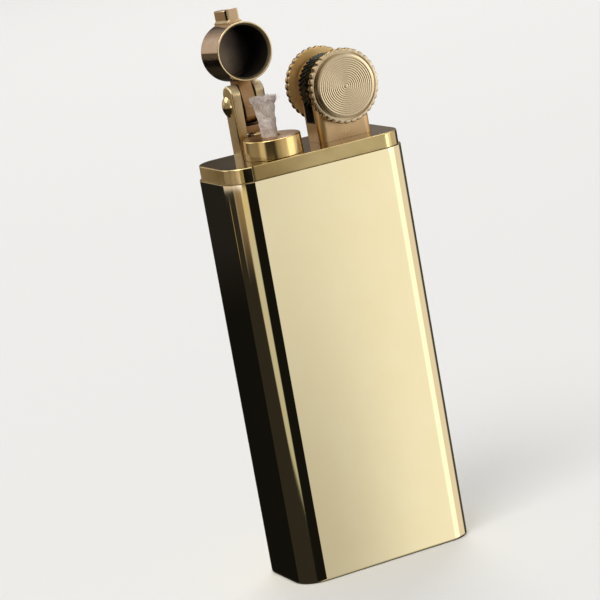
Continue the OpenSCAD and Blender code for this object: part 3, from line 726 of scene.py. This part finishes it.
# a paler, half-metallic copy of the brass on the round tops: painted highlight, so they stay pale
# from every side
painted_highlight_brass = brass("painted_highlight_brass", "EADCB8", "D8C69C", (0.42, 0.5), 0.004, 0.0006, 0.2, EVEN)
painted_highlight_brass.node_tree.nodes["Principled BSDF"].inputs["Metallic"].default_value = 0.5
coat(fork, worn_brass, rivet_brass)
layers(fork, painted_highlight_brass)
# the upward faces above the pivot take the painted highlight
for face in fork.data.polygons:
    if face.normal.z > 0.3 and face.center.z > PIVOT.z + 1:
        face.material_index = 2
dress(fork, "root", [], ["snuffer_fork"])


# ---- Pivot rivet -------------------------------------------------------------------
# Brass pin through both ears, headed over at each end into a low polished dome. The
# snuffer arm turns on it.

RIVET_R, HEAD_R, HEAD_H, RIVET_EDGE = 0.6, 1.55, 0.65, 0.06
dome_r = (HEAD_R**2 + HEAD_H**2) / (2 * HEAD_H)
rivet = start(
    "pivot_rivet_headed", bpy.ops.mesh.primitive_cylinder_add, vertices=32, radius=RIVET_R,
    depth=FORK_W, location=PIVOT, rotation=(0, math.pi / 2, 0),
)
pick("FACE", lambda p, n: abs(p.z) > FORK_W / 2 - 0.01 and abs(n.z) > 0.9)
bpy.ops.mesh.inset(thickness=0.1)
alone(rivet)
for way in (-1, 1):
    head = start(
        "rivet_head", bpy.ops.mesh.primitive_uv_sphere_add, segments=48, ring_count=32,
        radius=dome_r, location=(
            WORKS_X + way * (FORK_W / 2 + HEAD_H - dome_r), PIVOT.y, PIVOT.z,
        ), rotation=(0, math.pi / 2, 0),
    )
    bpy.ops.mesh.select_all(action="SELECT")
    bpy.ops.mesh.bisect(
        plane_co=(WORKS_X + way * FORK_W / 2, 0, 0), plane_no=(way, 0, 0),
        clear_inner=True, use_fill=True,
    )
    alone(rivet)
    head.select_set(True)
    bpy.ops.object.join()
soften(rivet, RIVET_EDGE, 3, 25)
dress(rivet, "root", [rivet_brass], ["pivot_rivet"])


# ---- Snuffer cup -------------------------------------------------------------------
# Drawn brass cup with a turned rim. Handling and the flame have browned it outside and
# sooted it inside. It is modelled closed and then swung open with its arm.

OPEN_ANGLE = math.radians(93.5)
CUP_R, CUP_WALL, CUP_LIP, CUP_CHAMFER, CUP_DEPTH, CUP_ROUND = 4.3, 0.5, 0.25, 0.5, 6.6, 0.5
CUP_EDGE, FLOOR_STEP, FLOOR_RING, RING_HIGH = 0.08, 0.5, 0.12, 0.06
CUP_PLACE = Vector((0, WICK_Y - PIVOT.y, COLLAR_Z + 0.1 - PIVOT.z))
opened = Matrix.Translation(PIVOT) @ Matrix.Rotation(-OPEN_ANGLE, 4, "X")


def swing_open(piece, place=Vector()):
    """Takes a piece drawn closed about the pivot, at a place from it, to the open pose."""
    alone(piece)
    bpy.ops.object.transform_apply(location=True, rotation=True, scale=True)
    piece.matrix_world = opened @ Matrix.Translation(place)
    bpy.ops.object.transform_apply(location=True, rotation=True, scale=True)


# drawn brass, browned by heat and handling: dull, warm, without a clear mirror
aged_brass = brass("aged_brass", "B08E66", "8E6E4A", (0.26, 0.38), 0.004, 0.0008, 0.2, EVEN)
# the cup's outside, drawn and polished, then tinted pink-brown by the flame: a soft mirror
browned_shell = brass(
    "browned_shell", "DCC4A6", "C8A788", (0.1, 0.16), 0.004, 0.0004, 0.15, (1, 1, 0.05),
)
# brass of the turned rim, rubbed clean by the collar: a thin pale ring
rubbed_rim = brass("rubbed_rim", "E2CFA6", "D2B98C", (0.14, 0.22), 0.001, 0.0004, 0.15, EVEN)
# brass under a thin film of soot, on the cup's floor: grey-brown and blotched, with a painted
# shadow of the wall on its right side
soot_floor_and_shade = brass("soot_floor_and_shade", "94806A", "6A5A4A", (0.3, 0.48), 0.004, 0.0012, 0.4, EVEN)
# lamp soot over the brass inside the cup, and painted shade on the cup's inner wall, the tab's
# groove and the block's slot: nearly black, matt
black_soot_and_shade = brass("black_soot_and_shade", "1E1611", "0C0806", (0.5, 0.7), 0.003, 0.002, 0.3, EVEN)
# smoke on the turned chamfer inside the rim: olive-brown, satin
smoked_edge = brass("smoked_edge", "7D6E52", "62543B", (0.3, 0.42), 0.002, 0.0006, 0.2, EVEN)
# painted reflection: a dark band on the outer wall where it faces sideways, that still mirrors
painted_dark_reflection = brass("painted_dark_reflection", "524438", "483C32", (0.14, 0.2), 0.003, 0.0004, 0.2, EVEN)
cup = start(
    "snuffer_cup_drawn", bpy.ops.mesh.primitive_cylinder_add, vertices=128, radius=CUP_R,
    depth=CUP_DEPTH, location=(0, 0, CUP_DEPTH / 2),
)
pick("EDGE", lambda p, d: p.z > CUP_DEPTH / 2 - 0.01)
bevel(CUP_ROUND, 8)
pick("FACE", lambda p, n: n.z < -0.9)
bpy.ops.mesh.inset(thickness=CUP_LIP)
bpy.ops.mesh.inset(thickness=CUP_WALL - CUP_LIP, depth=-CUP_CHAMFER)
pull(0, 0, CUP_DEPTH - CUP_WALL - CUP_CHAMFER)
bpy.ops.mesh.inset(thickness=FLOOR_STEP)
bpy.ops.mesh.inset(thickness=FLOOR_RING, depth=RING_HIGH)
pick("EDGE", lambda p, d: p.z < -CUP_DEPTH / 2 + 0.01)
bevel(CUP_EDGE, 4)
alone(cup)
# painted shadow: the floor darkens towards the right, where the wall shades it
darkened(soot_floor_and_shade, 0, -5.6, -2.3, "2E241C")
for smoky in (soot_floor_and_shade, smoked_edge, black_soot_and_shade):
    smoky.node_tree.nodes["Principled BSDF"].inputs["Metallic"].default_value = 0.4
layers(cup, browned_shell, soot_floor_and_shade, rubbed_rim, smoked_edge, black_soot_and_shade, painted_dark_reflection)
for face in cup.data.polygons:
    away = Vector((face.center.x, face.center.y)).length
    up = face.center.z + CUP_DEPTH / 2
    # the sideways faces of the outer wall take the painted dark reflection
    in_dark_reflection = abs(face.normal.x) > 0.9 and -0.17 < face.normal.y < 0.055
    if up < 0.09 and away > CUP_R - 0.19 and face.normal.z < -0.6:
        face.material_index = 2
    elif up < CUP_CHAMFER + 0.02 and away < CUP_R - 0.1:
        face.material_index = 3
    # the inner wall is soot with painted shade, darker than the floor
    elif away < CUP_R - CUP_LIP and up < CUP_DEPTH - 0.2:
        face.material_index = 4 if abs(face.normal.z) < 0.5 else 1
    elif in_dark_reflection and away > CUP_R - 0.05:
        face.material_index = 5
swing_open(cup, CUP_PLACE)
dress(cup, "snuffer", [], ["snuffer_cup"])


# ---- Finger tab --------------------------------------------------------------------
# Small brass block hard-soldered to the top of the cup, flared where it meets it, with
# an upright lip at the mouth's end and a groove behind it. The thumb pushes it.

TAB_W, TAB_H, TAB_L = 1.7, 2.0, 5.1
TAB_LIP, TAB_GROOVE, TAB_STEP, TAB_DROP, TAB_FLARE = 0.36, 0.9, 0.05, 0.12, 0.42
TAB_CUT, TAB_ROUND, TAB_EDGE = 0.4, 0.22, 0.09
TAB_OVERLAP, TAB_SPREAD, TAB_SINK = 0.1, 1.36, 0.35
TAB_BODY = TAB_LIP + TAB_GROOVE - TAB_L / 2
tab = start(
    "finger_tab_soldered", bpy.ops.mesh.primitive_cube_add, size=1,
    scale=(TAB_W, TAB_H - TAB_FLARE, TAB_L),
    location=(0, -CUP_R - TAB_FLARE - (TAB_H - TAB_FLARE) / 2, CUP_DEPTH - TAB_L / 2),
)
mouth_end = CUP_DEPTH - TAB_L
for place in (mouth_end + TAB_LIP, mouth_end + TAB_LIP + TAB_GROOVE):
    bpy.ops.mesh.select_all(action="SELECT")
    bpy.ops.mesh.bisect(plane_co=(0, 0, place), plane_no=(0, 0, 1))
pick("VERT", lambda p, n: p.z > TAB_BODY - 0.01)
bpy.ops.transform.resize(value=(1 - 2 * TAB_STEP / TAB_W, 1, 1))
pick("VERT", lambda p, n: p.z > TAB_BODY - 0.01 and p.y < 0)
bpy.ops.transform.translate(value=(0, TAB_DROP, 0))
pick("EDGE", lambda p, d: abs(d.z) > 0.9 and p.y < 0 and p.z > TAB_BODY)
bevel(TAB_ROUND, 5)
pick("FACE", lambda p, n: TAB_LIP < p.z + TAB_L / 2 < TAB_LIP + TAB_GROOVE and n.y < 0.9)
bpy.ops.mesh.extrude_region_shrink_fatten(TRANSFORM_OT_shrink_fatten={"value": -TAB_CUT})
pick("FACE", lambda p, n: n.y > 0.9)
pull(0, TAB_FLARE - TAB_OVERLAP, 0)
bpy.ops.transform.resize(value=(TAB_SPREAD, 1, 1))
pull(0, TAB_SINK, 0)
pick("EDGE", lambda p, d: abs(d.y) > 0.9 and abs(p.x) > TAB_W / 2 - 0.01
     and p.z < 0.01 - TAB_L / 2)
bevel(TAB_ROUND, 5)
soften(tab, TAB_EDGE, 3, 50)
# milled brass, browned and then rubbed by the thumb: satin, pinkish, without a mirror
handled_brass = brass("handled_brass", "D2B896", "B4966E", (0.24, 0.34), 0.004, 0.0008, 0.2, EVEN)
coat(tab, handled_brass, rubbed_rim)
layers(tab, black_soot_and_shade)
# the groove behind the lip is painted near black: painted shade
for face in tab.data.polygons:
    along = face.center.z + TAB_L / 2
    if TAB_LIP + 0.03 < along < TAB_LIP + TAB_GROOVE + 0.02 and face.center.y < 0.6:
        face.material_index = 2
swing_open(tab, CUP_PLACE)
dress(tab, "snuffer", [], ["finger_tab"])


# ---- Snuffer arm -------------------------------------------------------------------
# Flat brass arm soldered to the back of the cup. Its foot is round about the pivot and
# rubs on the sprung shoe, which holds the snuffer open or shut.

ARM_W, ARM_H, FOOT_R, FOOT_LEAN, ARM_OVERLAP, ARM_EDGE = 2.0, 2.4, 3.05, 2.4, 3.0, 0.15
arm = start(
    "snuffer_arm_flat", bpy.ops.mesh.primitive_cylinder_add, vertices=96, radius=FOOT_R,
    depth=ARM_W, location=(0, 0, 0), rotation=(0, math.pi / 2, 0),
)
alone(arm)
bpy.ops.object.transform_apply(location=True, rotation=True, scale=True)
bpy.ops.object.mode_set(mode="EDIT")
for place, way in (((0, 0, ARM_H / 2), (0, 0, 1)), ((0, 0, -FOOT_LEAN), (0, 0, -1)),
                   ((0, -0.01, 0), (0, -1, 0))):
    bpy.ops.mesh.select_all(action="SELECT")
    bpy.ops.mesh.bisect(plane_co=place, plane_no=way, clear_outer=True, use_fill=True)
pick("FACE", lambda p, n: n.y < -0.9)
pull(0, CUP_PLACE.y + ARM_OVERLAP, 0)
pick("VERT", lambda p, n: p.y < -2 and p.z < -0.5)
bpy.ops.transform.translate(value=(0, 0, FOOT_LEAN - ARM_H / 2 - 0.1))
alone(arm)
cup_cutter = start(
    "cup_cutter", bpy.ops.mesh.primitive_cylinder_add, vertices=96, radius=CUP_R - 0.05,
    depth=40, location=(0, CUP_PLACE.y, 0),
)
alone(arm)
cut(arm, cup_cutter)
soften(arm, ARM_EDGE, 4, 40)
swing_open(arm)
dress(arm, "snuffer", [aged_brass], ["snuffer_arm"])


# ---- Friction shoe -----------------------------------------------------------------
# Small milled brass block under the arm's foot, between the ears. A spring in the fork's
# bore pushes it up, and its peg keeps it on the spring.

SHOE_PEG, SHOE_EDGE, SHOE_LEDGE = 1.2, 0.1, 0.95
shoe = start(
    "friction_shoe_block", bpy.ops.mesh.primitive_cube_add, size=1,
    scale=(SLOT_W - 0.1, FORK_D - 0.3, SHOE_H),
    location=(WORKS_X, FORK_MID + 0.05, SHOE_TOP - SHOE_H / 2),
)
pick("FACE", lambda p, n: n.z < -0.9)
bpy.ops.mesh.inset(thickness=SHOE_LEDGE)
pull(0, 0, -SHOE_PEG)
soften(shoe, SHOE_EDGE, 3, 40)
dress(shoe, "shoe", [aged_brass], ["friction_shoe"])


# ---- Wheel block -------------------------------------------------------------------
# Milled brass bearing for the wheels, with rounded upright edges and a round top about
# the axle. A slot between its cheeks takes the flint wheel.

WHEEL = Vector((FLINT_X, 0, DECK_Z + 7.75))
BLOCK_W, CHEEK_OUT, SLOT_HALF, BLOCK_FLOOR = 8.3, 2.7, 1.4, DECK_Z + 2.8
BLOCK_STOCK, BLOCK_ROUND, BLOCK_EDGE, FLINT_BORE = 14, 1.1, 0.12, 1.35
block = start(
    "wheel_block_milled", bpy.ops.mesh.primitive_cube_add, size=1,
    scale=(BLOCK_W, 2 * CHEEK_OUT, BLOCK_STOCK),
    location=(WHEEL.x, 0, DECK_Z + BLOCK_STOCK / 2),
)
pick("EDGE", lambda p, d: abs(d.z) > 0.9)
bevel(BLOCK_ROUND, 8)
alone(block)
arch = start(
    "block_arch", bpy.ops.mesh.primitive_cube_add, size=1,
    scale=(BLOCK_W + 0.002, 8, WHEEL.z - DECK_Z + BLOCK_W / 2),
    location=(WHEEL.x, 0, (DECK_Z + WHEEL.z + BLOCK_W / 2) / 2),
)
pick("EDGE", lambda p, d: abs(d.y) > 0.9 and p.z > 0)
bevel(BLOCK_W / 2 - 0.005, 24)
cut(block, arch, "INTERSECT")
slot_cutter = start(
    "slot_cutter", bpy.ops.mesh.primitive_cube_add, size=1, scale=(12, 2 * SLOT_HALF, CUTTER_H),
    location=(WHEEL.x, 0, BLOCK_FLOOR + CUTTER_H / 2),
)
cut(block, slot_cutter)
bore(block, FLINT_X, 0, FLINT_BORE, DECK_Z - 1, BLOCK_FLOOR + 1)
soften(block, BLOCK_EDGE, 3, 40)
# milled brass, satin from the tumbling barrel and a little tarnished: warm and soft
block_brass = brass("block_brass", "D8BC94", "C6A67A", (0.24, 0.34), 0.003, 0.0008, 0.2, EVEN)
# the same brass on its rounded edges, worn by the pocket: deeper yellow, duller
rubbed_block = brass(
    "rubbed_block_brass", "D2B07C", "BE9862", (0.34, 0.44), 0.003, 0.0008, 0.2, EVEN,
)
coat(block, block_brass, rubbed_block)
layers(block, black_soot_and_shade)
# the slot's inner faces and the foot are painted near black: painted shade
for face in block.data.polygons:
    up = face.center.z + BLOCK_STOCK / 2
    in_slot = abs(face.center.y) < SLOT_HALF + 0.05 and up > BLOCK_FLOOR - DECK_Z - 0.05
    inner = in_slot and abs(face.normal.x) < 0.5
    foot = face.normal.z < -0.2 and up < 0.2
    face.material_index = 2 if inner or foot else face.material_index
dress(block, "root", [], ["wheel_block"], flat_sides=True)


# ---- Thumb wheels ------------------------------------------------------------------
# Two turned brass wheels with a scalloped rim for the thumb, a groove, and a raised face
# with fine concentric turning rings. They are pressed on the axle, and tarnish has stayed
# between the scallops.

THUMB_R, SCALLOPS, RIM_IN, RIM_W, PROUD = 5.5, 32, 3.15, 1.5, 0.5
FACE_R, RINGS, RING_RISE, RING_CUT, RING_GAP, GAP_DEEP = 4.65, 14, 0.0075, 0.013, 0.3, 0.35
SHOULDER = ((0.1, 0.046), (0.12, 0.034), (0.16, 0.02))
SHOULDER_W, SHOULDER_H = (sum(part) for part in zip(*SHOULDER))
RIM_BACK = 0.55
PITCH = 2 * math.pi * THUMB_R / SCALLOPS
SCALLOP_R, SCALLOP_END = 0.8 * PITCH, 0.2
# brass faced on the lathe, polished over its rings: pale, with a ring of light on each
turned_brass = brass("turned_brass", "D4C3A2", "C8B594", (0.15, 0.22), 0.001, 0.0003, 0.2, EVEN)
# brass of the beads, rubbed by the thumb: a clear highlight on each bead
worn_rim = brass("worn_rim", "C8AE82", "AA8E64", (0.16, 0.26), 0.001, 0.0005, 0.2, EVEN)
# tarnish and skin grease left between the beads: a darker brown that parts them
browned_side = brass("browned_side", "A68C60", "7A6244", (0.18, 0.28), 0.002, 0.0008, 0.3, EVEN)
# inner sides, faced but never polished: matt, and painted lighter to stand in for light in the
# shaded gap between the wheels
matt_side_painted_light = brass("matt_side_painted_light", "E6CC98", "CDB078", (0.5, 0.6), 0.002, 0.0008, 0.3, EVEN)


def thumb_wheel(name, way):
    """The wheel on the front (-1) or the back (1) side of the block."""
    wheel = start(
        name, bpy.ops.mesh.primitive_cylinder_add, vertices=SCALLOPS * 12, radius=THUMB_R,
        depth=RIM_W, location=(0, 0, RIM_IN + RIM_W / 2),
    )
    pick("EDGE", lambda p, d: abs(d.z) > 0.9)
    bpy.ops.mesh.subdivide(number_cuts=11)
    pick("FACE", lambda p, n: n.z < -0.9)
    bpy.ops.mesh.inset(thickness=THUMB_R - FACE_R - RING_GAP)
    pick("FACE", lambda p, n: n.z > 0.9)
    bpy.ops.mesh.inset(thickness=THUMB_R - FACE_R - RING_GAP)
    pull(0, 0, -GAP_DEEP)
    bpy.ops.mesh.inset(thickness=RING_GAP)
    pull(0, 0, GAP_DEEP + PROUD - RING_RISE - SHOULDER_H)
    for wide, rise in SHOULDER:
        bpy.ops.mesh.inset(thickness=wide, depth=rise)
    step = (FACE_R - SHOULDER_W) / RINGS
    for _ in range(RINGS - 1):
        bpy.ops.mesh.inset(thickness=0.32 * step, depth=RING_RISE)
        bpy.ops.mesh.inset(thickness=0.32 * step, depth=-RING_RISE)
        bpy.ops.mesh.inset(thickness=0.18 * step, depth=-RING_CUT)
        bpy.ops.mesh.inset(thickness=0.18 * step, depth=RING_CUT)
    bpy.ops.mesh.inset(thickness=0.5 * step, depth=RING_RISE)
    alone(wheel)
    for v in wheel.data.vertices:
        if math.hypot(v.co.x, v.co.y) > THUMB_R - 0.01:
            turn = SCALLOPS * math.atan2(v.co.y, v.co.x) / (2 * math.pi)
            across = (turn % 1 - 0.5) * PITCH
            level = (RIM_W - RIM_BACK) / 2 * math.sin(math.pi * v.co.z / RIM_W)
            fall = max(0, SCALLOP_END - (RIM_W - RIM_BACK) / 2 + abs(level))
            v.co.z = level - way * RIM_BACK / 2
            lobe = THUMB_R - SCALLOP_R + math.sqrt(SCALLOP_R**2 - across**2)
            lobe -= SCALLOP_END - math.sqrt(SCALLOP_END**2 - fall**2)
            v.co.x *= lobe / THUMB_R
            v.co.y *= lobe / THUMB_R
    layers(wheel, turned_brass, browned_side, worn_rim, matt_side_painted_light)
    for face in wheel.data.polygons:
        rim = math.hypot(face.center.x, face.center.y) > FACE_R + RING_GAP + 0.05
        turn = SCALLOPS * math.atan2(face.center.y, face.center.x) / (2 * math.pi)
        valley = abs(turn % 1 - 0.5) > 0.27
        # the inner sides take the matt finish with painted light
        if face.normal.z < -0.9:
            face.material_index = 3
        elif rim and face.normal.z < 0.9 and valley:
            face.material_index = 1
        elif rim and face.normal.z < 0.9:
            face.material_index = 2
    bpy.ops.object.transform_apply(location=True, rotation=True, scale=True)
    wheel.rotation_euler = (-way * math.pi / 2, 0, 0)
    bpy.ops.object.transform_apply(location=True, rotation=True, scale=True)
    wheel.location = WHEEL
    return wheel


for name, node_name, way in (
    ("front_thumb_wheel_turned", "front_thumb_wheel", -1),
    ("rear_thumb_wheel_turned", "rear_thumb_wheel", 1),
):
    wheel = thumb_wheel(name, way)
    dress(wheel, "wheel_set", [turned_brass], [node_name], smooth=20)


# ---- Flint wheel -------------------------------------------------------------------
# Hardened and blackened steel wheel. Slanting cuts across its rim, crossed by a finer
# cut the other way, leave rows of sharp teeth that rub the flint.

# hardened carbon steel, quenched in oil: blue-black scale, half bright on the cut teeth
hardened_steel, tree, shader = finish("blackened_steel")
speck = pattern(tree, 0.35, 3.0)
colour = node(
    tree, "Mix", {"data_type": "RGBA"},
    {0: spread(tree, speck, 0.0, 1.0), 6: hex_colour("23261F"), 7: hex_colour("3F423A")},
)
tree.links.new(colour.outputs[2], shader.inputs["Base Color"])
tree.links.new(spread(tree, speck, 0.22, 0.38), shader.inputs["Roughness"])
shader.inputs["Metallic"].default_value = 1.0

FLINT_WHEEL_R, FLINT_WHEEL_W, TEETH, TOOTH_DEPTH = 4.7, 2.5, 40, 0.3
TOOTH_SLANT = math.radians(28)
CROSS_CUTS, CROSS_DEPTH, CROSS_LEAN = 64, 0.08, 1.3
flint_wheel = start(
    "flint_wheel_cut", bpy.ops.mesh.primitive_cylinder_add, vertices=TEETH * 8,
    radius=FLINT_WHEEL_R, depth=FLINT_WHEEL_W, location=(0, 0, 0),
)
pick("EDGE", lambda p, d: abs(d.z) > 0.9)
bpy.ops.mesh.subdivide(number_cuts=15)
pick("FACE", lambda p, n: abs(n.z) > 0.9)
bpy.ops.mesh.inset(thickness=1.0)
bpy.ops.mesh.inset(thickness=0.3, depth=-0.2)
alone(flint_wheel)
for v in flint_wheel.data.vertices:
    if math.hypot(v.co.x, v.co.y) > FLINT_WHEEL_R - 0.01:
        turn = math.atan2(v.co.y, v.co.x)
        slant = v.co.z * math.tan(TOOTH_SLANT) / FLINT_WHEEL_R
        tooth = 2 * abs((TEETH * (turn + slant) / (2 * math.pi)) % 1 - 0.5)
        cross = 2 * abs((CROSS_CUTS * (turn - CROSS_LEAN * slant) / (2 * math.pi)) % 1 - 0.5)
        drop = TOOTH_DEPTH * (1 - tooth) + CROSS_DEPTH * (1 - cross)
        v.co.x *= 1 - drop / FLINT_WHEEL_R
        v.co.y *= 1 - drop / FLINT_WHEEL_R
flint_wheel.rotation_euler = (math.pi / 2, 0, 0)
bpy.ops.object.transform_apply(location=True, rotation=True, scale=True)
flint_wheel.location = WHEEL
dress(flint_wheel, "wheel_set", [hardened_steel], ["flint_wheel"], smooth=20)


# ---- Inner pieces ------------------------------------------------------------------
# The pieces inside the case and in the foot keep the shapes that they were made in, and
# get the finish of turned brass, drawn steel, flint, cotton or rubber.

# free-cutting brass as it leaves the lathe: yellow, satin
machined_brass = brass("machined_brass", "D9B871", "C7A257", (0.18, 0.3), 0.001, 0.001, 0.15, EVEN)
# mild steel, turned bright: pale grey, satin
bright_steel = brass("bright_steel", "C9C9C7", "B5B5B4", (0.2, 0.32), 0.001, 0.001, 0.15, EVEN)
# spring wire, cold-drawn through a die: smooth mid grey
spring_steel = brass(
    "drawn_spring_steel", "9A9A9C", "86868A", (0.22, 0.34), 0.001, 0.001, 0.1, EVEN,
)


def matt(name, light, dark, size, rough, depth):
    """A matt surface in two tones with grains of size millimetres and a bump of depth."""
    made, tree, shader = finish(name)
    grains = pattern(tree, size, 4.0, roughness=0.6)
    colour = node(
        tree, "Mix", {"data_type": "RGBA"},
        {0: spread(tree, grains, 0.0, 1.0), 6: hex_colour(light), 7: hex_colour(dark)},
    )
    bump = node(tree, "Bump", inputs={"Strength": 1.0, "Distance": depth * MM, "Height": grains})
    tree.links.new(colour.outputs[2], shader.inputs["Base Color"])
    tree.links.new(bump.outputs[0], shader.inputs["Normal"])
    shader.inputs["Roughness"].default_value = rough
    return made


# lighter flint, pressed from metal powder: dull dark grey, grainy
ferrocerium = matt("pressed_ferrocerium", "6A6A6C", "4C4C50", 0.3, 0.6, 0.02)
# carded cotton wool, packed by hand: white and fluffy
loose_cotton = matt("loose_cotton", "F2F0EC", "DCD8D0", 0.8, 0.95, 0.2)
# nitrile rubber, moulded: matt brick red, smooth
seal_rubber = matt("seal_rubber", "8A2B23", "732019", 0.4, 0.7, 0.01)

INNER = {
    "base_plate": machined_brass, "wick_tube": machined_brass, "cotton_wadding": loose_cotton,
    "flint_tube": machined_brass, "block_screws": bright_steel, "arm_washers": bright_steel,
    "friction_spring": spring_steel, "wheel_axle": bright_steel, "wheel_washers": bright_steel,
    "flint": ferrocerium, "flint_pusher": machined_brass, "flint_spring": spring_steel,
    "flint_screw": machined_brass, "flint_seal": seal_rubber, "filler_neck": machined_brass,
    "filler_screw": machined_brass, "filler_seal": seal_rubber,
}
for name, inner_finish in INNER.items():
    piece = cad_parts[name]
    piece.data.materials.clear()
    piece.data.materials.append(inner_finish)
